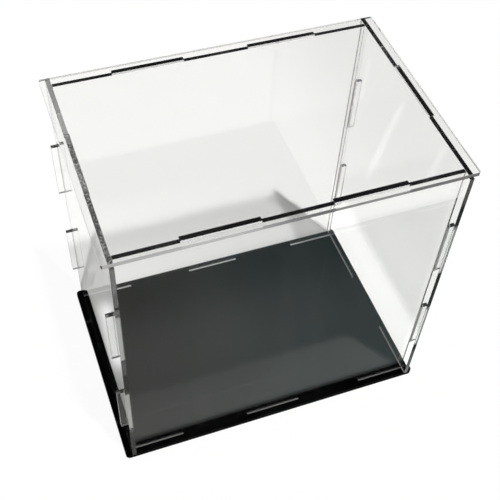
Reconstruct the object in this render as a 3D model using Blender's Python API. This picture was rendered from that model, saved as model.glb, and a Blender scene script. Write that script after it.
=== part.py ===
"""Clear acrylic display case with a black base, cut from flat sheet and plugged together by tabs and slots.

Six panels: a slotted base, four clear walls that stand in it, and a clear top panel that drops over
the walls' upper tabs. The front is -Y, up is +Z, and the origin is under the middle of the base.
"""
import math

import bmesh
import bpy
from mathutils import Vector

MM = 0.001

# The case, over the outer faces of its walls and from the base's upper face to the top of the lid
CASE_WIDTH = 300 * MM
CASE_DEPTH = 200 * MM
CASE_HEIGHT = 300 * MM

# Sheet stock
CLEAR_SHEET = 4 * MM
BASE_SHEET = 5 * MM

# How far each panel runs past the walls' outer faces
TOP_OVERHANG = 5.5 * MM
BASE_LEDGE = 6 * MM
SIDE_WALL_REACH = 7 * MM
TAB_PROUD = 6 * MM

# Play between a tab and its slot, and between seated faces
FIT = 0.3 * MM
UPRIGHT_SLOT_PLAY = 2 * MM

# Corners of the two flat panels, seen from above
TOP_CORNER_RADIUS = 1.5 * MM
BASE_CORNER_RADIUS = 4 * MM
CORNER_STEPS = 8

# Tabs of the front and rear walls, with centres as shares of the case's width from its middle
LONG_TAB_CENTRE_SHARES = (-0.207, 0.207)
LONG_TOP_TAB = 64 * MM
LONG_FOOT_TAB = 68 * MM

# Tabs of the side walls, with centres as shares of the case's depth from its middle towards the rear
SIDE_TOP_TAB = 68 * MM
SIDE_TOP_TAB_CENTRE_SHARES = (0.0,)
SIDE_FOOT_TAB = 73 * MM
SIDE_FOOT_TAB_CENTRE_SHARES = (-0.024,)

# Tabs on the upright edges of the front and rear walls, with centres as shares of the case's height
UPRIGHT_TAB = 60 * MM
UPRIGHT_TAB_CENTRE_SHARES = (0.27, 0.663)

# A cutter runs past both faces of the sheet that it cuts
OVERRUN = 2 * MM

# Worked out from the sizes above
WALL_FOOT = BASE_SHEET + FIT
LID_UNDERSIDE = BASE_SHEET + CASE_HEIGHT - CLEAR_SHEET
WALL_BODY_HEIGHT = LID_UNDERSIDE - FIT - WALL_FOOT
TOP_TAB_REACH = FIT + CLEAR_SHEET
FOOT_TAB_REACH = BASE_SHEET
UPRIGHT_TAB_REACH = FIT + CLEAR_SHEET + TAB_PROUD
LONG_WALL_BODY_WIDTH = CASE_WIDTH - 2 * (CLEAR_SHEET + FIT)
SIDE_WALL_WIDTH = CASE_DEPTH + 2 * SIDE_WALL_REACH

CLEAR_ACRYLIC = {"colour": (0.93, 0.97, 0.96), "roughness": 0.02, "metallic": 0.0, "transmission": 1.0, "ior": 1.49}
BLACK_ACRYLIC = {"colour": (0.004, 0.004, 0.005), "roughness": 0.06, "metallic": 0.0, "transmission": 0.0, "ior": 1.49}


def clear_scene():
    for obj in list(bpy.data.objects):
        bpy.data.objects.remove(obj, do_unlink=True)


def acrylic(name, finish):
    material = bpy.data.materials.new(name)
    material.use_nodes = True
    shader = material.node_tree.nodes["Principled BSDF"]
    shader.inputs["Base Color"].default_value = (*finish["colour"], 1.0)
    shader.inputs["Roughness"].default_value = finish["roughness"]
    shader.inputs["Metallic"].default_value = finish["metallic"]
    shader.inputs["Transmission Weight"].default_value = finish["transmission"]
    shader.inputs["IOR"].default_value = finish["ior"]
    material.diffuse_color = (*finish["colour"], 1.0)
    return material


def edge_with_tabs(start, end, tabs, reach):
    """Points along one straight edge of an outline that runs anticlockwise, with its tabs outwards.

    Each tab is (distance of its centre from the edge's start, length).
    """
    along = (end - start).normalized()
    outward = Vector((along.y, -along.x))
    points = [start]
    for centre, length in tabs:
        near = start + along * (centre - length / 2)
        far = start + along * (centre + length / 2)
        points += [near, near + outward * reach, far + outward * reach, far]
    return points


def wall_outline(width, height, foot_tabs, upright_tabs, top_tabs):
    """Outline of a wall lying flat, with its foot on the X axis and its middle at x = 0.

    foot_tabs and top_tabs are (centre x, length), and upright_tabs are (centre y, length).
    """
    half = width / 2
    foot_left = Vector((-half, 0))
    foot_right = Vector((half, 0))
    top_right = Vector((half, height))
    top_left = Vector((-half, height))
    foot = [(centre + half, length) for centre, length in sorted(foot_tabs)]
    right = sorted(upright_tabs)
    top = [(half - centre, length) for centre, length in sorted(top_tabs, reverse=True)]
    left = [(height - centre, length) for centre, length in sorted(upright_tabs, reverse=True)]
    points = edge_with_tabs(foot_left, foot_right, foot, FOOT_TAB_REACH)
    points += edge_with_tabs(foot_right, top_right, right, UPRIGHT_TAB_REACH)
    points += edge_with_tabs(top_right, top_left, top, TOP_TAB_REACH)
    points += edge_with_tabs(top_left, foot_left, left, UPRIGHT_TAB_REACH)
    return points


def rounded_rectangle(width, depth, radius):
    """Anticlockwise outline about the origin, with an arc at each corner."""
    points = []
    for quarter, (sx, sy) in enumerate(((1, 1), (-1, 1), (-1, -1), (1, -1))):
        centre = Vector((sx * (width / 2 - radius), sy * (depth / 2 - radius)))
        for step in range(CORNER_STEPS + 1):
            angle = math.pi / 2 * (quarter + step / CORNER_STEPS)
            points.append(centre + Vector((math.cos(angle), math.sin(angle))) * radius)
    return points


def sheet_object(name, outline, thickness, material):
    """A flat sheet on the plane z = 0, with its thickness upwards."""
    bm = bmesh.new()
    face = bm.faces.new([bm.verts.new((point.x, point.y, 0)) for point in outline])
    grown = bmesh.ops.extrude_face_region(bm, geom=[face])
    top_verts = [item for item in grown["geom"] if isinstance(item, bmesh.types.BMVert)]
    bmesh.ops.translate(bm, verts=top_verts, vec=(0, 0, thickness))
    bmesh.ops.recalc_face_normals(bm, faces=bm.faces)
    mesh = bpy.data.meshes.new(name)
    bm.to_mesh(mesh)
    bm.free()
    mesh.materials.append(material)
    obj = bpy.data.objects.new(name, mesh)
    bpy.context.collection.objects.link(obj)
    return obj


def cut_slots(obj, slots, thickness):
    """Cuts slots through a flat sheet. Each slot is (centre x, centre y, size x, size y) in its own frame."""
    bm = bmesh.new()
    for x, y, size_x, size_y in slots:
        box = bmesh.ops.create_cube(bm, size=1)["verts"]
        bmesh.ops.scale(bm, verts=box, vec=(size_x, size_y, thickness + 2 * OVERRUN))
        bmesh.ops.translate(bm, verts=box, vec=(x, y, thickness / 2))
    mesh = bpy.data.meshes.new(obj.name + "_slots")
    bm.to_mesh(mesh)
    bm.free()
    cutter = bpy.data.objects.new(obj.name + "_slots", mesh)
    bpy.context.collection.objects.link(cutter)
    cutter.parent = obj
    cutter.hide_render = True
    cutter.display_type = "WIRE"
    cut = obj.modifiers.new("slots", "BOOLEAN")
    cut.operation = "DIFFERENCE"
    cut.solver = "EXACT"
    cut.object = cutter


def tab_row(shares, span, length):
    return [(share * span, length) for share in shares]


def upright_tabs():
    """Upright tabs of a front or rear wall, as heights above the wall's foot."""
    return [(share * CASE_HEIGHT - FIT, UPRIGHT_TAB) for share in UPRIGHT_TAB_CENTRE_SHARES]


def slots_for_long_walls(length):
    """Slots of a flat panel for the tabs of the front and rear walls."""
    slots = []
    middle = CASE_DEPTH / 2 - CLEAR_SHEET / 2
    for centre, tab in tab_row(LONG_TAB_CENTRE_SHARES, CASE_WIDTH, length):
        for side in (-1, 1):
            slots.append((centre, side * middle, tab + 2 * FIT, CLEAR_SHEET + 2 * FIT))
    return slots


def slots_for_side_walls(shares, length):
    """Slots of a flat panel for the tabs of the left and right walls."""
    slots = []
    middle = CASE_WIDTH / 2 - CLEAR_SHEET / 2
    for centre, tab in tab_row(shares, CASE_DEPTH, length):
        for side in (-1, 1):
            slots.append((side * middle, centre, CLEAR_SHEET + 2 * FIT, tab + 2 * FIT))
    return slots


def build_base(material):
    width = CASE_WIDTH + 2 * BASE_LEDGE
    depth = CASE_DEPTH + 2 * BASE_LEDGE
    base = sheet_object("base_panel", rounded_rectangle(width, depth, BASE_CORNER_RADIUS), BASE_SHEET, material)
    slots = slots_for_long_walls(LONG_FOOT_TAB)
    slots += slots_for_side_walls(SIDE_FOOT_TAB_CENTRE_SHARES, SIDE_FOOT_TAB)
    cut_slots(base, slots, BASE_SHEET)
    return base


def build_top(material):
    width = CASE_WIDTH + 2 * TOP_OVERHANG
    depth = CASE_DEPTH + 2 * TOP_OVERHANG
    top = sheet_object("top_panel", rounded_rectangle(width, depth, TOP_CORNER_RADIUS), CLEAR_SHEET, material)
    slots = slots_for_long_walls(LONG_TOP_TAB)
    slots += slots_for_side_walls(SIDE_TOP_TAB_CENTRE_SHARES, SIDE_TOP_TAB)
    cut_slots(top, slots, CLEAR_SHEET)
    top.location = (0, 0, LID_UNDERSIDE)
    return top


def build_long_wall(name, turn, material):
    """The front wall, or the rear one turned half round."""
    foot_tabs = tab_row(LONG_TAB_CENTRE_SHARES, CASE_WIDTH, LONG_FOOT_TAB)
    top_tabs = tab_row(LONG_TAB_CENTRE_SHARES, CASE_WIDTH, LONG_TOP_TAB)
    outline = wall_outline(LONG_WALL_BODY_WIDTH, WALL_BODY_HEIGHT, foot_tabs, upright_tabs(), top_tabs)
    wall = sheet_object(name, outline, CLEAR_SHEET, material)
    wall.rotation_euler = (math.pi / 2, 0, turn)
    inner = CASE_DEPTH / 2 - CLEAR_SHEET
    wall.location = (inner * math.sin(turn), -inner * math.cos(turn), 0)
    return wall


def build_side_wall(name, side, material):
    """The left wall (side -1) or the right one (side 1), with closed slots for the upright tabs."""
    rearwards = side
    foot_tabs = [(rearwards * y, length) for y, length in
                 tab_row(SIDE_FOOT_TAB_CENTRE_SHARES, CASE_DEPTH, SIDE_FOOT_TAB)]
    top_tabs = [(rearwards * y, length) for y, length in
                tab_row(SIDE_TOP_TAB_CENTRE_SHARES, CASE_DEPTH, SIDE_TOP_TAB)]
    outline = wall_outline(SIDE_WALL_WIDTH, WALL_BODY_HEIGHT, foot_tabs, [], top_tabs)
    wall = sheet_object(name, outline, CLEAR_SHEET, material)
    middle = CASE_DEPTH / 2 - CLEAR_SHEET / 2
    slots = []
    for centre, tab in upright_tabs():
        for end in (-1, 1):
            slots.append((end * middle, centre + UPRIGHT_SLOT_PLAY / 2,
                          CLEAR_SHEET + 2 * FIT, tab + 2 * FIT + UPRIGHT_SLOT_PLAY))
    cut_slots(wall, slots, CLEAR_SHEET)
    wall.rotation_euler = (math.pi / 2, 0, side * math.pi / 2)
    wall.location = (side * (CASE_WIDTH / 2 - CLEAR_SHEET), 0, 0)
    return wall


def main():
    clear_scene()
    clear = acrylic("clear_acrylic", CLEAR_ACRYLIC)
    black = acrylic("black_acrylic", BLACK_ACRYLIC)
    build_base(black)
    build_top(clear)
    cover = bpy.data.objects.new("cover_frame", None)
    cover.location = (0, 0, WALL_FOOT)
    bpy.context.collection.objects.link(cover)
    for wall in (build_long_wall("front_wall", 0, clear), build_long_wall("rear_wall", math.pi, clear),
                 build_side_wall("left_wall", -1, clear), build_side_wall("right_wall", 1, clear)):
        wall.parent = cover


main()
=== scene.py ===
"""Looks of the acrylic display case: clear polished panels plugged into a glossy black base.

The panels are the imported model's own, copied, merged and given the fine chamfers of a finished cut edge.
"""
import math

import bmesh
import bpy
from mathutils import Matrix, Quaternion, Vector


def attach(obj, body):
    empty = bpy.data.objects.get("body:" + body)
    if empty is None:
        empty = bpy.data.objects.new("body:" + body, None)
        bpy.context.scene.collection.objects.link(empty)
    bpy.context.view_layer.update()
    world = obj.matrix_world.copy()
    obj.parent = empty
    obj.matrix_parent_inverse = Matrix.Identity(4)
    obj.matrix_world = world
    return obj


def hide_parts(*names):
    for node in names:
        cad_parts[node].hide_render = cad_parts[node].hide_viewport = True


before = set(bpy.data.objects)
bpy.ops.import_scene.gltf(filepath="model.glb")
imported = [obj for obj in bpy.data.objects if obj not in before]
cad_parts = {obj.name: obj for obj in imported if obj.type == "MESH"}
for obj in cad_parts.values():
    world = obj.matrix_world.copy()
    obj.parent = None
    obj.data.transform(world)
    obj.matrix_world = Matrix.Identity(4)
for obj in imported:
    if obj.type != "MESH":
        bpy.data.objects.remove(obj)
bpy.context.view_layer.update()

MM = 0.001

# The photograph's view, solved from the panels' edges: a point looked at, and the camera's place round it
VIEW_TARGET = Vector((14.5, 2.7, 92.7)) * MM
VIEW_DISTANCE = 909.9 * MM
VIEW_AZIMUTH = math.radians(-23.994)
VIEW_ELEVATION = math.radians(52.213)
VIEW_ROLL = math.radians(4.703)
LENS_MM = 64.49
SENSOR_MM = 36
VIEW_SHIFT_X = -0.0122
VIEW_SHIFT_Y = 0.0512

# Each panel with the axis that its sheet is thin along, its material, the body that it rides on, how matt the
# underside of its feet is, and how strongly the laser has marked its upper edge
PANELS = {
    "base_panel": ("z", "black_acrylic", "base", 0.0, 0.0),
    "front_wall": ("y", "clear_acrylic", "cover", 0.15, 0.0),
    "rear_wall": ("y", "clear_acrylic", "cover", 0.6, 0.0),
    "left_wall": ("x", "clear_acrylic", "cover", 0.02, 1.0),
    "right_wall": ("x", "clear_acrylic", "cover", 0.3, 0.0),
    "top_panel": ("z", "clear_acrylic", "lid", 0.0, 0.0),
}
# The stretch of the left wall's upper edge behind its tab: where it starts, how matt and how marked it is
MATT_STRETCH_FROM = 34 * MM
MATT_STRETCH = 0.32
MATT_STRETCH_MARKS = 0.2
# Where the side walls' ends and the walls' feet start, from the middle and from the table
SHEET_END_FROM = 106 * MM
FOOT_LEVEL = 4 * MM
# A face counts as straight along an axis from this share of its normal on, and below FACES_DOWN it faces down
STRAIGHT = 0.95
FACES_DOWN = -0.5
# The slots' upright faces in the side walls, and the top panel's front rim, which clears towards the right
SLOT_MATT = 0.4
FRONT_RIM_BEFORE = -100 * MM
RIM_MATT = 0.5
RIM_CLEARS = (-60 * MM, 20 * MM)
RIM_CLEAR = 0.25
MERGE_DISTANCE = 0.01 * MM
FLAT_ANGLE = math.radians(1)
SHARP_ANGLE = math.radians(25)
CHAMFER = {"black_acrylic": 0.25 * MM, "clear_acrylic": 0.2 * MM}
CHAMFER_STEPS = {"black_acrylic": 3, "clear_acrylic": 2}
# On each panel's mesh: how far a face is turned from the sheet's own faces, whether it is an end of a side
# wall or is darkened like one as painted shade, how matt it is, how strongly it is marked, whether it is the
# top panel's front rim
CUT_EDGE = "cut_edge"
SHEET_END = "sheet_end"
MATT = "matt"
MARKED = "marked"
FRONT_RIM = "front_rim"

# Acrylic
ACRYLIC_IOR = 1.49
CLEAR_COLOUR = (0.99, 0.99, 0.985, 1)
FROST_COLOUR = (0.9, 0.9, 0.89, 1)
BLACK_COLOUR = (0.0004, 0.0004, 0.0005, 1)
DUST_COLOUR = (0.75, 0.76, 0.76, 1)
BLACK = (0, 0, 0, 1)
WHITE = (1, 1, 1, 1)
# A surface's reflectance: straight on, what a grazing ray adds, and the power by which that comes in
STRAIGHT_REFLECTANCE = 0.04
GRAZING_REFLECTANCE = 0.8
GRAZING_POWER = 5.0
# Beyond this "Facing" a ray inside the sheet is reflected whole, and there it takes a share of black, painted
# shade that darkens the edges
WHOLE_REFLECTION_FACING = 0.26
WHOLE_REFLECTION_SHADE = 0.2
# The share of black that a sheet's end gives a ray inside it, painted shade, and what cut faces and ends
# block of the light behind shadows
SHEET_END_SHADE = 0.72
CUT_BLOCKS = 0.1
SHEET_END_BLOCKS = 0.6
# How matt a cut face is, how much its marks add, and how matt a marked face is between them
CUT_MATT = 0.008
CUT_MARKS = 0.30
MARKED_MATT = 0.07
CUT_MARK_SPACING = 2.0 * MM
CUT_MARK_LEVELS = (0.42, 0.72)
# Wiping haze and settled specks: the haze's fineness along each axis (per metre) and how much either shows
HAZE_LEVELS = (0.42, 0.74)
CLEAR_HAZE_FINENESS = (34.0, 34.0, 4.5)
CLEAR_HAZE = 0.004
CLEAR_SPECKS = 0.25
BLACK_HAZE_FINENESS = (40.0, 5.0, 1.0)
BLACK_HAZE = 0.0015
BLACK_SPECKS = 0.30
SPECK_SPACING = 34 * MM
SPECK_RADIUS = 0.7 * MM
# A cell's chance value from which on it holds a speck, and the share of a speck's radius that is dense
SPECK_CHANCE = 0.55
SPECK_DENSE = 0.5
# The black sheet's roughness: clean, and what haze and specks add
BLACK_ROUGHNESS = 0.02
HAZE_ROUGHNESS = 0.05
SPECK_ROUGHNESS = 0.5

# Light: an upright slit of a lamp high at the front right, made of two small ones, in white surroundings
LAMP_TOWARDS = Vector((37.5, -80.6, 301.0))
LAMP_STRENGTH = 2.5
LAMP_ANGLE = math.radians(1.4)
LAMP_STEPS = (math.radians(-0.45), math.radians(0.45))
SURROUNDINGS_LIGHT = 0.34
SURROUNDINGS_THROUGH_SHEET = 0.01
SURROUNDINGS_IN_GLOSS = 0.015
# Mirrored, the surroundings are light near the horizon and dark overhead
HORIZON_LIGHT = 0.6
HORIZON_HEIGHTS = (0.30, 0.55)

# Floor
FLOOR_RADIUS = 6.0
FLOOR_DROP = 0.1 * MM
FLOOR_STEPS = 96
FLOOR_COLOUR = (0.92, 0.92, 0.908, 1)
FLOOR_WHITE_SHARE = 0.93
FLOOR_SEEN_THROUGH = 0.05
# Half the width and half the depth of the table under the base, which is painted black as shade
UNDER_BASE = (155 * MM, 105 * MM)
# Painted light: where the front wall and the right wall would throw the lamp's light on the table
THROWN_FRONT = (-158.5 * MM, -100 * MM)
THROWN_RIGHT = (150 * MM, 194 * MM)
THROWN_RIGHT_END = (182 * MM, 199 * MM)
THROWN_SOFT = 4 * MM
THROWN_FRONT_SOFT = 6 * MM
THROWN_SLANT = 0.68
THROWN_REACH = (-220 * MM, 107 * MM)
THROWN_SHIFT = 85 * MM
THROWN_EXTRA = 0.46
THROWN_EXTRA_FALL = 0.16
# Painted light: a soft glow set on the table around the case's foot: beside it at the right, and behind it,
# with the ends of each fall
BESIDE_GLOW = 0.08
BESIDE_ACROSS = (215 * MM, 265 * MM)
BESIDE_TO = (112 * MM, 100 * MM)
BEHIND_GLOWS = (
    (0.045, 252, 200),
    (0.045, 170, 145),
    (0.055, 126, 108),
)
BEHIND_ACROSS = (-110 * MM, 110 * MM)
BEHIND_ACROSS_LEVELS = (1.5, 0.2)
# Painted streaks of light, standing in for what the panels' edges throw on the table behind: both ends and
# half the width in mm, and the strength
STREAKS = (
    ((338, 283, 238, 175), 8.0, 0.13),
    ((354, 189, 306, 144), 8.0, 0.09),
    ((337, 385, 287, 307), 4.0, 0.08),
)
# The share of its length by which a streak is soft to either side of its ends
STREAK_SOFT = 0.15
# Painted shadow: the dark foot of the shadow that the rear right corner throws, added to the lamp's own
# shadow there: the line it follows, how it comes in along that line, how it starts and fades across it, and
# how deep it is
CORNER_FOOT = Vector((150.9, 102.7)) * MM
CORNER_TIP = Vector((112.6, 184.5)) * MM
CORNER_RISE = (22 * MM, 58 * MM)
CORNER_INSIDE = (-0.5 * MM, 1.5 * MM)
CORNER_FADE = (24 * MM, 8 * MM)
CORNER_SHADE = 0.22
# Painted reflection: a patch of light painted on the table beside the left wall, which the left wall mirrors:
# its ends, half its width and its strength
LEFT_GLARE = ((-170, 83, -165, 0), 15.0, 0.6)
# Painted reflection: how light the table is where the front wall mirrors it, painted as levels in a lit patch
# and beyond it, along the depth and across, with painted shade at the base's foot, and the tints
FRONT_NEAR = 0.385
FRONT_FOOT = (-106.3 * MM, -113.3 * MM)
FRONT_FOOT_LEVEL = 0.01
FRONT_FAR = 0.325
FRONT_RISE = (-158 * MM, -195 * MM)
FRONT_RISE_FROM = 0.89
FRONT_FADE = (-212 * MM, -285 * MM)
FRONT_FADE_TO = 0.72
FRONT_ACROSS = (-10 * MM, 75 * MM)
FRONT_ACROSS_TO = 0.76
FRONT_SIDE = (85 * MM, 150 * MM)
FRONT_SIDE_TO = 0.8
FRONT_TINT_ACROSS = (-120 * MM, 60 * MM)
FRONT_TINTS = ((0.006, 0.016, 0.0, 1), (0.0, 0.06, 0.054, 1))
FRONT_END = (-300 * MM, -315 * MM)
# A ray that has passed fewer sheet faces than this is mirrored by the first sheet
FIRST_SHEET_FACES = 3.0
# Painted shade: the slow fall of the light at the right and behind
RIGHT_FADE = (150 * MM, 320 * MM)
RIGHT_FADE_FROM = (50 * MM, 200 * MM)
RIGHT_FADE_LOSS = 0.14

# The most times that a ray is followed on, and from one matt surface to the next
MOST_BOUNCES = 64
MATT_BOUNCES = 3


def wire(tree, value, socket):
    """Joins an output to a socket, or sets the socket to a number or a tuple."""
    if isinstance(value, bpy.types.NodeSocket):
        tree.links.new(value, socket)
    else:
        socket.default_value = value


def add(tree, kind, settings=None, **inputs):
    """A new shader node with its settings and, by socket name with underscores for spaces, its inputs."""
    made = tree.nodes.new(kind)
    for name, value in (settings or {}).items():
        setattr(made, name, value)
    for name, value in inputs.items():
        wire(tree, value, made.inputs[name.replace("_", " ")])
    return made


def calc(tree, operation, *values, clamp=False):
    """The output of a Math node."""
    made = add(tree, "ShaderNodeMath", {"operation": operation, "use_clamp": clamp})
    for socket, value in zip(made.inputs, values):
        wire(tree, value, socket)
    return made.outputs[0]


def ramp(tree, value, start, end, low=0.0, high=1.0, kind="SMOOTHSTEP"):
    """The output of a Map Range node: low at start and high at end."""
    made = add(tree, "ShaderNodeMapRange", {"interpolation_type": kind},
               Value=value, From_Min=start, From_Max=end, To_Min=low, To_Max=high)
    return made.outputs["Result"]


def product(tree, *values):
    """The product of several values."""
    result = values[0]
    for value in values[1:]:
        result = calc(tree, "MULTIPLY", result, value)
    return result


def blend(tree, share, first, second):
    """The output of a Mix Shader node: first at share 0 and second at share 1."""
    made = tree.nodes.new("ShaderNodeMixShader")
    wire(tree, share, made.inputs[0])
    wire(tree, first.outputs[0] if isinstance(first, bpy.types.Node) else first, made.inputs[1])
    wire(tree, second.outputs[0] if isinstance(second, bpy.types.Node) else second, made.inputs[2])
    return made


def mix_colours(tree, share, first, second):
    """The output of a Mix Color node: first at share 0 and second at share 1."""
    made = add(tree, "ShaderNodeMix", {"data_type": "RGBA"})
    for index, value in ((0, share), (6, first), (7, second)):
        wire(tree, value, made.inputs[index])
    return made.outputs[2]


def new_material(name):
    """An empty node material: (material, tree, surface socket of its output)."""
    material = bpy.data.materials.new(name)
    material.use_nodes = True
    tree = material.node_tree
    tree.nodes.clear()
    output = tree.nodes.new("ShaderNodeOutputMaterial")
    return material, tree, output.inputs["Surface"]


def new_group(name, inputs, output):
    """An empty shader node group with one output: (group, its inputs by name, socket for its output)."""
    group = bpy.data.node_groups.new(name, "ShaderNodeTree")
    for label, kind in inputs.items():
        group.interface.new_socket(name=label, in_out="INPUT", socket_type=kind)
    group.interface.new_socket(name=output, in_out="OUTPUT", socket_type="NodeSocketFloat")
    given = group.nodes.new("NodeGroupInput")
    result = group.nodes.new("NodeGroupOutput")
    return group, given.outputs, result.inputs[output]


def cut_marks_group():
    """Uneven marks that the laser leaves on a sheet's cut edge. Spacing is in metres."""
    inputs = {"Place": "NodeSocketVector", "Spacing": "NodeSocketFloat"}
    group, given, result = new_group("cut_marks", inputs, "Marks")
    fineness = calc(group, "DIVIDE", 1.0, given["Spacing"])
    noise = add(group, "ShaderNodeTexNoise", Vector=given["Place"], Scale=fineness, Detail=2.0, Roughness=0.6)
    wire(group, ramp(group, noise.outputs["Fac"], *CUT_MARK_LEVELS), result)
    return group


def wipe_haze_group():
    """Soft streaks that a cloth leaves. Fineness says how many fit into a metre along each axis."""
    inputs = {"Place": "NodeSocketVector", "Fineness": "NodeSocketVector"}
    group, given, result = new_group("wipe_haze", inputs, "Haze")
    stretched = add(group, "ShaderNodeVectorMath", {"operation": "MULTIPLY"})
    wire(group, given["Place"], stretched.inputs[0])
    wire(group, given["Fineness"], stretched.inputs[1])
    noise = add(group, "ShaderNodeTexNoise", Vector=stretched.outputs[0], Scale=1.0, Detail=4.0,
                Roughness=0.55, Distortion=0.4)
    wire(group, ramp(group, noise.outputs["Fac"], *HAZE_LEVELS), result)
    return group


def settled_specks_group():
    """A few specks of dust, one to a cell of Spacing at most and up to Radius, both in metres."""
    inputs = {"Place": "NodeSocketVector", "Spacing": "NodeSocketFloat", "Radius": "NodeSocketFloat"}
    group, given, result = new_group("settled_specks", inputs, "Specks")
    cells = add(group, "ShaderNodeTexVoronoi", {"feature": "F1"}, Vector=given["Place"],
                Scale=calc(group, "DIVIDE", 1.0, given["Spacing"]))
    chance = add(group, "ShaderNodeSeparateColor", Color=cells.outputs["Color"])
    radius = calc(group, "MULTIPLY", chance.outputs["Red"], given["Radius"])
    radius = calc(group, "DIVIDE", radius, given["Spacing"])
    rim = ramp(group, cells.outputs["Distance"], radius, calc(group, "MULTIPLY", radius, SPECK_DENSE))
    holds_one = calc(group, "GREATER_THAN", chance.outputs["Green"], SPECK_CHANCE)
    wire(group, calc(group, "MULTIPLY", rim, holds_one), result)
    return group


def use_group(tree, group, **inputs):
    """The output of a node group placed in a material."""
    placed = tree.nodes.new("ShaderNodeGroup")
    placed.node_tree = group
    for name, value in inputs.items():
        wire(tree, value, placed.inputs[name])
    return placed.outputs[0]


def face_value(tree, name):
    """A value that the panels' faces carry."""
    return add(tree, "ShaderNodeAttribute", {"attribute_name": name}).outputs["Fac"]


def clear_acrylic(effects):
    material, tree, surface = new_material("clear_acrylic")
    cut = face_value(tree, CUT_EDGE)
    end = face_value(tree, SHEET_END)
    matt = face_value(tree, MATT)
    marked = face_value(tree, MARKED)
    rim = face_value(tree, FRONT_RIM)
    place = add(tree, "ShaderNodeTexCoord").outputs["Object"]
    marks = use_group(tree, effects["cut_marks"], Place=place, Spacing=CUT_MARK_SPACING)
    haze = use_group(tree, effects["wipe_haze"], Place=place, Fineness=CLEAR_HAZE_FINENESS)
    specks = use_group(tree, effects["settled_specks"],
                       Place=place, Spacing=SPECK_SPACING, Radius=SPECK_RADIUS)
    polished = add(tree, "ShaderNodeBsdfPrincipled", IOR=ACRYLIC_IOR, Transmission_Weight=1.0, Roughness=0.0)
    polished.inputs["Base Color"].default_value = CLEAR_COLOUR
    facing = tree.nodes.new("ShaderNodeLayerWeight")
    facing.inputs["Blend"].default_value = 0.5
    inside = add(tree, "ShaderNodeNewGeometry").outputs["Backfacing"]
    # Painted shade: a ray inside the sheet that is reflected whole or meets a sheet's end takes a share of
    # black
    slanted = calc(tree, "GREATER_THAN", facing.outputs["Facing"], WHOLE_REFLECTION_FACING)
    painted_shade_share = calc(tree, "MAXIMUM", calc(tree, "MULTIPLY", slanted, WHOLE_REFLECTION_SHADE),
                calc(tree, "MULTIPLY", end, SHEET_END_SHADE))
    painted_shade_share = calc(tree, "MULTIPLY", inside, painted_shade_share)
    dark = add(tree, "ShaderNodeBsdfDiffuse", Color=BLACK)
    sheet = blend(tree, painted_shade_share, polished, dark)
    frost = add(tree, "ShaderNodeBsdfDiffuse", Color=FROST_COLOUR)
    frosted = calc(tree, "MULTIPLY_ADD", calc(tree, "MULTIPLY", marks, marked), CUT_MARKS, matt)
    frosted = calc(tree, "MULTIPLY_ADD", cut, CUT_MATT, frosted)
    across = add(tree, "ShaderNodeSeparateXYZ", Vector=place).outputs["X"]
    clearing = ramp(tree, across, *RIM_CLEARS, 1.0, RIM_CLEAR)
    frosted = calc(tree, "MULTIPLY_ADD", rim, clearing, frosted)
    frosted = calc(tree, "MULTIPLY_ADD", haze, CLEAR_HAZE, frosted)
    frosted = calc(tree, "MULTIPLY_ADD", specks, CLEAR_SPECKS, frosted, clamp=True)
    sheet = blend(tree, frosted, sheet, frost)
    grazing = calc(tree, "POWER", facing.outputs["Facing"], GRAZING_POWER)
    back = calc(tree, "MULTIPLY_ADD", grazing, GRAZING_REFLECTANCE, STRAIGHT_REFLECTANCE)
    passed = calc(tree, "DIVIDE", calc(tree, "SUBTRACT", 1.0, back), calc(tree, "ADD", 1.0, back))
    passed = calc(tree, "SQRT", passed)
    blocked = calc(tree, "MULTIPLY_ADD", end, SHEET_END_BLOCKS, calc(tree, "MULTIPLY", cut, CUT_BLOCKS))
    passed = calc(tree, "MULTIPLY", passed, calc(tree, "SUBTRACT", 1.0, blocked))
    window = add(tree, "ShaderNodeBsdfTransparent", Color=passed)
    path = tree.nodes.new("ShaderNodeLightPath")
    light = calc(tree, "MAXIMUM", path.outputs["Is Shadow Ray"], path.outputs["Is Diffuse Ray"])
    wire(tree, blend(tree, light, sheet, window).outputs[0], surface)
    return material


def black_acrylic(effects):
    material, tree, surface = new_material("black_acrylic")
    place = add(tree, "ShaderNodeTexCoord").outputs["Object"]
    haze = use_group(tree, effects["wipe_haze"], Place=place, Fineness=BLACK_HAZE_FINENESS)
    specks = use_group(tree, effects["settled_specks"],
                       Place=place, Spacing=SPECK_SPACING, Radius=SPECK_RADIUS)
    dust = calc(tree, "MULTIPLY_ADD", specks, BLACK_SPECKS, calc(tree, "MULTIPLY", haze, BLACK_HAZE))
    colour = mix_colours(tree, dust, BLACK_COLOUR, DUST_COLOUR)
    roughness = calc(tree, "MULTIPLY_ADD", specks, SPECK_ROUGHNESS, BLACK_ROUGHNESS)
    roughness = calc(tree, "MULTIPLY_ADD", haze, HAZE_ROUGHNESS, roughness)
    polished = add(tree, "ShaderNodeBsdfPrincipled", IOR=ACRYLIC_IOR, Base_Color=colour, Roughness=roughness)
    wire(tree, polished.outputs[0], surface)
    return material


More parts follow.
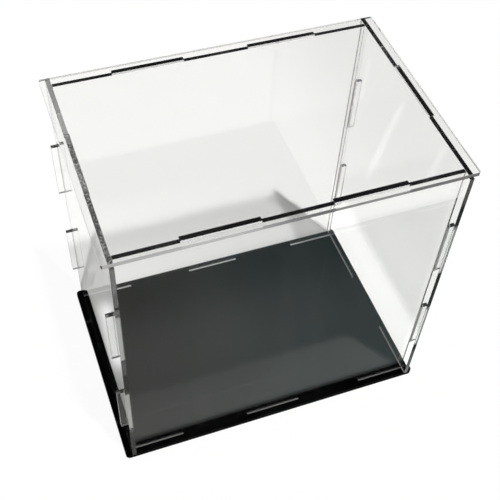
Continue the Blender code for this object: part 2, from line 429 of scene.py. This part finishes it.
def finished_panel(name, thin_axis, finish, body, foot, marks, materials):
    """A copy of a packed panel with merged corners and chamfered edges, which stands for that node."""
    axis = "xyz".index(thin_axis)
    bm = bmesh.new()
    bm.from_mesh(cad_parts[name].data)
    bmesh.ops.remove_doubles(bm, verts=bm.verts, dist=MERGE_DISTANCE)
    bmesh.ops.dissolve_limit(bm, angle_limit=FLAT_ANGLE, verts=bm.verts, edges=bm.edges)
    edges = [edge for edge in bm.edges if edge.calc_face_angle(0) > SHARP_ANGLE]
    bmesh.ops.bevel(bm, geom=edges, offset=CHAMFER[finish], offset_type="OFFSET",
                    segments=CHAMFER_STEPS[finish], profile=0.5, affect="EDGES",
                    clamp_overlap=True, material=-1)
    cut = bm.faces.layers.float.new(CUT_EDGE)
    end = bm.faces.layers.float.new(SHEET_END)
    matt = bm.faces.layers.float.new(MATT)
    marked = bm.faces.layers.float.new(MARKED)
    rim = bm.faces.layers.float.new(FRONT_RIM)
    for face in bm.faces:
        middle = face.calc_center_median()
        face[cut] = 1.0 - abs(face.normal[axis])
        if thin_axis == "x" and abs(middle.y) > SHEET_END_FROM:
            face[end] = face[cut] * (1.0 - abs(face.normal.z))
        # Painted shade: the left wall's underside just above its tabs is darkened like a sheet end
        above_tabs = FOOT_LEVEL < middle.z < 2 * FOOT_LEVEL
        if name == "left_wall" and face.normal.z < FACES_DOWN and above_tabs:
            face[end] = 1.0
        if middle.z > FOOT_LEVEL:
            face[matt] = max(0.0, -face.normal.z) * face[cut] * foot
        if thin_axis == "x" and abs(face.normal.y) > STRAIGHT and abs(middle.y) < SHEET_END_FROM:
            face[matt] = SLOT_MATT
        frontmost = face.normal.y < -STRAIGHT and middle.y < FRONT_RIM_BEFORE
        if name == "top_panel" and frontmost:
            face[rim] = RIM_MATT
        upper = face[cut] > STRAIGHT and face.normal.z > STRAIGHT
        if upper:
            face[marked] = marks
            face[matt] = marks * MARKED_MATT
        if upper and name == "left_wall" and middle.y > MATT_STRETCH_FROM:
            face[matt] = MATT_STRETCH
            face[marked] = MATT_STRETCH_MARKS
    mesh = bpy.data.meshes.new(name + "_finished")
    bm.to_mesh(mesh)
    bm.free()
    mesh.shade_flat()
    mesh.materials.append(materials[finish])
    panel = bpy.data.objects.new(name + "_finished", mesh)
    bpy.context.scene.collection.objects.link(panel)
    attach(panel, body)
    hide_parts(name)
    return panel


def streak(tree, x, y, ends, half_width):
    """A soft straight streak on the table, from one end to the other (mm)."""
    start = Vector(ends[:2]) * MM
    run = Vector(ends[2:]) * MM - start
    length = run.length
    run.normalize()
    from_x = calc(tree, "SUBTRACT", x, start.x)
    from_y = calc(tree, "SUBTRACT", y, start.y)
    along = calc(tree, "MULTIPLY_ADD", from_x, run.x, calc(tree, "MULTIPLY", from_y, run.y))
    aside = calc(tree, "MULTIPLY_ADD", from_x, run.y, calc(tree, "MULTIPLY", from_y, -run.x))
    across = ramp(tree, calc(tree, "ABSOLUTE", aside), half_width, 0.0)
    begun = ramp(tree, along, -STREAK_SOFT * length, STREAK_SOFT * length)
    ended = ramp(tree, along, (1 + STREAK_SOFT) * length, (1 - STREAK_SOFT) * length)
    return calc(tree, "MULTIPLY", across, calc(tree, "MULTIPLY", begun, ended))


def painted_front_level(tree, x, y, foot):
    """The painted light and shade of the table where the front wall mirrors it."""
    edge = calc(tree, "SUBTRACT", y, THROWN_FRONT[1])
    edge = calc(tree, "MULTIPLY_ADD", edge, THROWN_SLANT, THROWN_RIGHT[0])
    before_edge = ramp(tree, calc(tree, "SUBTRACT", edge, x), -THROWN_FRONT_SOFT, THROWN_FRONT_SOFT)
    near = ramp(tree, y, THROWN_FRONT[0] - THROWN_FRONT_SOFT, THROWN_FRONT[0] + THROWN_FRONT_SOFT)
    lit = calc(tree, "MULTIPLY", near, before_edge)
    shade = product(tree,
                    ramp(tree, y, *FRONT_RISE, FRONT_RISE_FROM * FRONT_FAR, FRONT_FAR),
                    ramp(tree, y, *FRONT_FADE, 1.0, FRONT_FADE_TO),
                    ramp(tree, x, *FRONT_ACROSS, 1.0, FRONT_ACROSS_TO),
                    ramp(tree, x, *FRONT_SIDE, 1.0, FRONT_SIDE_TO))
    level = calc(tree, "MULTIPLY_ADD", lit, calc(tree, "SUBTRACT", FRONT_NEAR, shade), shade)
    return calc(tree, "MULTIPLY", level, foot)


def painted_right_strip(tree, x, y):
    """Painted light: where the right wall would throw light on the table, falling off outwards."""
    shift = ramp(tree, x, *THROWN_RIGHT, 0.0, THROWN_SHIFT, "LINEAR")
    along = calc(tree, "SUBTRACT", y, shift)
    low, high = THROWN_REACH
    return product(tree,
                   ramp(tree, x, THROWN_RIGHT[0] - THROWN_SOFT, THROWN_RIGHT[0]),
                   ramp(tree, x, THROWN_RIGHT_END[1], THROWN_RIGHT_END[0]),
                   ramp(tree, x, *THROWN_RIGHT, 1.0, 1.0 - THROWN_EXTRA_FALL, "LINEAR"),
                   ramp(tree, along, low - THROWN_SOFT, low + THROWN_SOFT),
                   ramp(tree, along, high + THROWN_SOFT, high - THROWN_SOFT))


def painted_light_seen_through(tree, x, y):
    """The painted light on the table seen through the sheets: at the right, behind the case, and in streaks.
    """
    extra = calc(tree, "MULTIPLY_ADD", painted_right_strip(tree, x, y), THROWN_EXTRA, FLOOR_SEEN_THROUGH)
    beside = product(tree,
                     ramp(tree, x, BESIDE_ACROSS[1], BESIDE_ACROSS[0]),
                     ramp(tree, y, *BESIDE_TO),
                     calc(tree, "GREATER_THAN", x, THROWN_RIGHT[0]))
    extra = calc(tree, "MULTIPLY_ADD", beside, BESIDE_GLOW, extra)
    behind = product(tree,
                     calc(tree, "GREATER_THAN", y, 0.0),
                     calc(tree, "LESS_THAN", x, THROWN_RIGHT[0]),
                     ramp(tree, x, *BEHIND_ACROSS, *BEHIND_ACROSS_LEVELS, "LINEAR"))
    for strength, start, end in BEHIND_GLOWS:
        glow = calc(tree, "MULTIPLY", ramp(tree, y, start * MM, end * MM), behind)
        extra = calc(tree, "MULTIPLY_ADD", glow, strength, extra)
    for ends, half_width, strength in STREAKS:
        extra = calc(tree, "MULTIPLY_ADD", streak(tree, x, y, ends, half_width * MM), strength, extra)
    return extra


def painted_shade_seen_through(tree, x, y):
    """The painted shade on the table that is seen through the sheets: the slow fall and the dark foot of the
    corner's shadow.
    """
    fall = calc(tree, "MULTIPLY", ramp(tree, x, *RIGHT_FADE, 0.0, RIGHT_FADE_LOSS),
                ramp(tree, y, *RIGHT_FADE_FROM))
    run = (CORNER_TIP - CORNER_FOOT).normalized()
    reach = (CORNER_TIP - CORNER_FOOT).length
    from_x = calc(tree, "SUBTRACT", x, CORNER_FOOT.x)
    from_y = calc(tree, "SUBTRACT", y, CORNER_FOOT.y)
    risen = calc(tree, "MULTIPLY_ADD", from_x, run.x, calc(tree, "MULTIPLY", from_y, run.y))
    within = calc(tree, "MULTIPLY_ADD", from_x, -run.y, calc(tree, "MULTIPLY", from_y, run.x))
    corner = product(tree,
                     ramp(tree, within, *CORNER_INSIDE),
                     ramp(tree, within, *CORNER_FADE),
                     ramp(tree, risen, *CORNER_RISE),
                     ramp(tree, risen, reach + THROWN_SOFT, reach - THROWN_SOFT))
    return calc(tree, "MULTIPLY_ADD", corner, CORNER_SHADE, fall)


def white_table():
    """The floor's material: white, seen plainly by the camera, with painted light and shade where the sheets
    show it.
    """
    material, tree, surface = new_material("white_table")
    path = tree.nodes.new("ShaderNodeLightPath")
    mirrored = calc(tree, "MINIMUM", path.outputs["Glossy Depth"], 1.0)
    not_mirrored = calc(tree, "SUBTRACT", 1.0, mirrored)
    through = calc(tree, "MULTIPLY", path.outputs["Is Transmission Ray"], not_mirrored)
    once = calc(tree, "LESS_THAN", path.outputs["Transmission Depth"], FIRST_SHEET_FACES)
    beside = calc(tree, "MULTIPLY", mirrored, once)
    coords = add(tree, "ShaderNodeTexCoord").outputs["Object"]
    place = add(tree, "ShaderNodeSeparateXYZ", Vector=coords)
    x, y = place.outputs["X"], place.outputs["Y"]
    # In front: the painted light and shade of the table that the front wall mirrors
    foot = ramp(tree, y, *FRONT_FOOT, FRONT_FOOT_LEVEL, 1.0)
    level = painted_front_level(tree, x, y, foot)
    in_front = product(tree, beside,
                       ramp(tree, y, THROWN_FRONT[1] + THROWN_SOFT, THROWN_FRONT[1] - THROWN_SOFT),
                       ramp(tree, y, FRONT_END[1], FRONT_END[0]))
    kept = calc(tree, "SUBTRACT", 1.0, calc(tree, "MULTIPLY", in_front, calc(tree, "SUBTRACT", 1.0, level)))
    # Painted shade on the table, seen through the sheets
    kept = calc(tree, "SUBTRACT", kept, calc(tree, "MULTIPLY", painted_shade_seen_through(tree, x, y), through))
    # Painted shade: the table under the base is set black, as no light reaches it there
    beyond_width = calc(tree, "GREATER_THAN", calc(tree, "ABSOLUTE", x), UNDER_BASE[0])
    beyond_depth = calc(tree, "GREATER_THAN", calc(tree, "ABSOLUTE", y), UNDER_BASE[1])
    clear_of_base = calc(tree, "MAXIMUM", beyond_width, beyond_depth)
    extra = calc(tree, "MULTIPLY", painted_light_seen_through(tree, x, y), clear_of_base)
    # At the left: a painted patch of light that the left wall mirrors
    ends, half_width, strength = LEFT_GLARE
    glare = calc(tree, "MULTIPLY", streak(tree, x, y, ends, half_width * MM), strength)
    glow_level = calc(tree, "MULTIPLY_ADD", glare, beside, calc(tree, "MULTIPLY", through, extra))
    # The painted shade takes these tints, going black at the base's foot
    tint = mix_colours(tree, ramp(tree, x, *FRONT_TINT_ACROSS), *FRONT_TINTS)
    tint = mix_colours(tree, foot, BLACK, tint)
    colour = mix_colours(tree, kept, tint, FLOOR_COLOUR)
    colour = mix_colours(tree, clear_of_base, BLACK, colour)
    glow = add(tree, "ShaderNodeEmission", Color=WHITE, Strength=glow_level)
    plain = add(tree, "ShaderNodeBsdfDiffuse", Color=colour)
    natural = tree.nodes.new("ShaderNodeAddShader")
    wire(tree, plain.outputs[0], natural.inputs[0])
    wire(tree, glow.outputs[0], natural.inputs[1])
    white = add(tree, "ShaderNodeEmission", Color=WHITE, Strength=1.0)
    seen = calc(tree, "MULTIPLY", path.outputs["Is Camera Ray"], FLOOR_WHITE_SHARE)
    wire(tree, blend(tree, seen, natural, white).outputs[0], surface)
    return material


def build_floor():
    bm = bmesh.new()
    bmesh.ops.create_circle(bm, cap_ends=True, radius=FLOOR_RADIUS, segments=FLOOR_STEPS)
    bmesh.ops.translate(bm, verts=bm.verts, vec=(0, 0, -FLOOR_DROP))
    mesh = bpy.data.meshes.new("floor")
    bm.to_mesh(mesh)
    bm.free()
    mesh.materials.append(white_table())
    floor = bpy.data.objects.new("floor", mesh)
    bpy.context.scene.collection.objects.link(floor)


def build_light():
    lamp = bpy.data.lights.new("lamp", "SUN")
    lamp.energy = LAMP_STRENGTH / len(LAMP_STEPS)
    lamp.angle = LAMP_ANGLE
    level = LAMP_TOWARDS.cross(Vector((0, 0, 1))).normalized()
    for step in LAMP_STEPS:
        holder = bpy.data.objects.new("lamp", lamp)
        holder.rotation_mode = "QUATERNION"
        holder.rotation_quaternion = Quaternion(level, step) @ LAMP_TOWARDS.to_track_quat("Z", "Y")
        bpy.context.scene.collection.objects.link(holder)
    world = bpy.data.worlds.new("surroundings")
    world.use_nodes = True
    tree = world.node_tree
    path = tree.nodes.new("ShaderNodeLightPath")
    through = path.outputs["Is Transmission Ray"]
    mirrored = calc(tree, "MINIMUM", path.outputs["Glossy Depth"], 1.0)
    towards = add(tree, "ShaderNodeTexCoord").outputs["Generated"]
    height = add(tree, "ShaderNodeSeparateXYZ", Vector=towards).outputs["Z"]
    in_sheet = ramp(tree, height, *HORIZON_HEIGHTS, HORIZON_LIGHT, SURROUNDINGS_THROUGH_SHEET)
    in_gloss = ramp(tree, height, *HORIZON_HEIGHTS, HORIZON_LIGHT, SURROUNDINGS_IN_GLOSS)
    seen = calc(tree, "MAXIMUM", path.outputs["Is Camera Ray"], through)
    seen_level = calc(tree, "MULTIPLY_ADD", mirrored, calc(tree, "SUBTRACT", in_sheet, 1.0), 1.0)
    gloss = calc(tree, "MULTIPLY", path.outputs["Is Glossy Ray"], calc(tree, "SUBTRACT", 1.0, through))
    gloss_change = calc(tree, "SUBTRACT", in_gloss, SURROUNDINGS_LIGHT)
    unseen_level = calc(tree, "MULTIPLY_ADD", gloss, gloss_change, SURROUNDINGS_LIGHT)
    difference = calc(tree, "SUBTRACT", seen_level, unseen_level)
    background = tree.nodes["Background"]
    background.inputs["Color"].default_value = WHITE
    wire(tree, calc(tree, "MULTIPLY_ADD", seen, difference, unseen_level), background.inputs["Strength"])
    bpy.context.scene.world = world


def build_camera():
    back = Vector((math.sin(VIEW_AZIMUTH) * math.cos(VIEW_ELEVATION),
                   -math.cos(VIEW_AZIMUTH) * math.cos(VIEW_ELEVATION), math.sin(VIEW_ELEVATION)))
    level = Vector((0, 0, 1)).cross(back).normalized()
    upright = back.cross(level)
    right = level * math.cos(VIEW_ROLL) + upright * math.sin(VIEW_ROLL)
    up = back.cross(right)
    data = bpy.data.cameras.new("camera")
    data.lens = LENS_MM
    data.sensor_width = SENSOR_MM
    data.shift_x = VIEW_SHIFT_X
    data.shift_y = VIEW_SHIFT_Y
    data.clip_start = 0.01
    camera = bpy.data.objects.new("camera", data)
    turn = Matrix((right, up, back)).transposed().to_4x4()
    camera.matrix_world = Matrix.Translation(VIEW_TARGET + back * VIEW_DISTANCE) @ turn
    bpy.context.scene.collection.objects.link(camera)
    bpy.context.scene.camera = camera


def set_light_paths():
    scene = bpy.context.scene
    scene.view_settings.view_transform = "Standard"
    scene.cycles.max_bounces = MOST_BOUNCES
    scene.cycles.transmission_bounces = MOST_BOUNCES
    scene.cycles.glossy_bounces = MOST_BOUNCES
    scene.cycles.diffuse_bounces = MATT_BOUNCES
    scene.cycles.transparent_max_bounces = MOST_BOUNCES
    scene.cycles.caustics_reflective = False
    scene.cycles.caustics_refractive = False


build_camera()
build_light()
build_floor()
surface_effects = {
    "cut_marks": cut_marks_group(),
    "wipe_haze": wipe_haze_group(),
    "settled_specks": settled_specks_group(),
}
materials = {
    "clear_acrylic": clear_acrylic(surface_effects),
    "black_acrylic": black_acrylic(surface_effects),
}
for panel_name, (thin_axis, finish, body, foot, marks) in PANELS.items():
    finished_panel(panel_name, thin_axis, finish, body, foot, marks, materials)
set_light_paths()
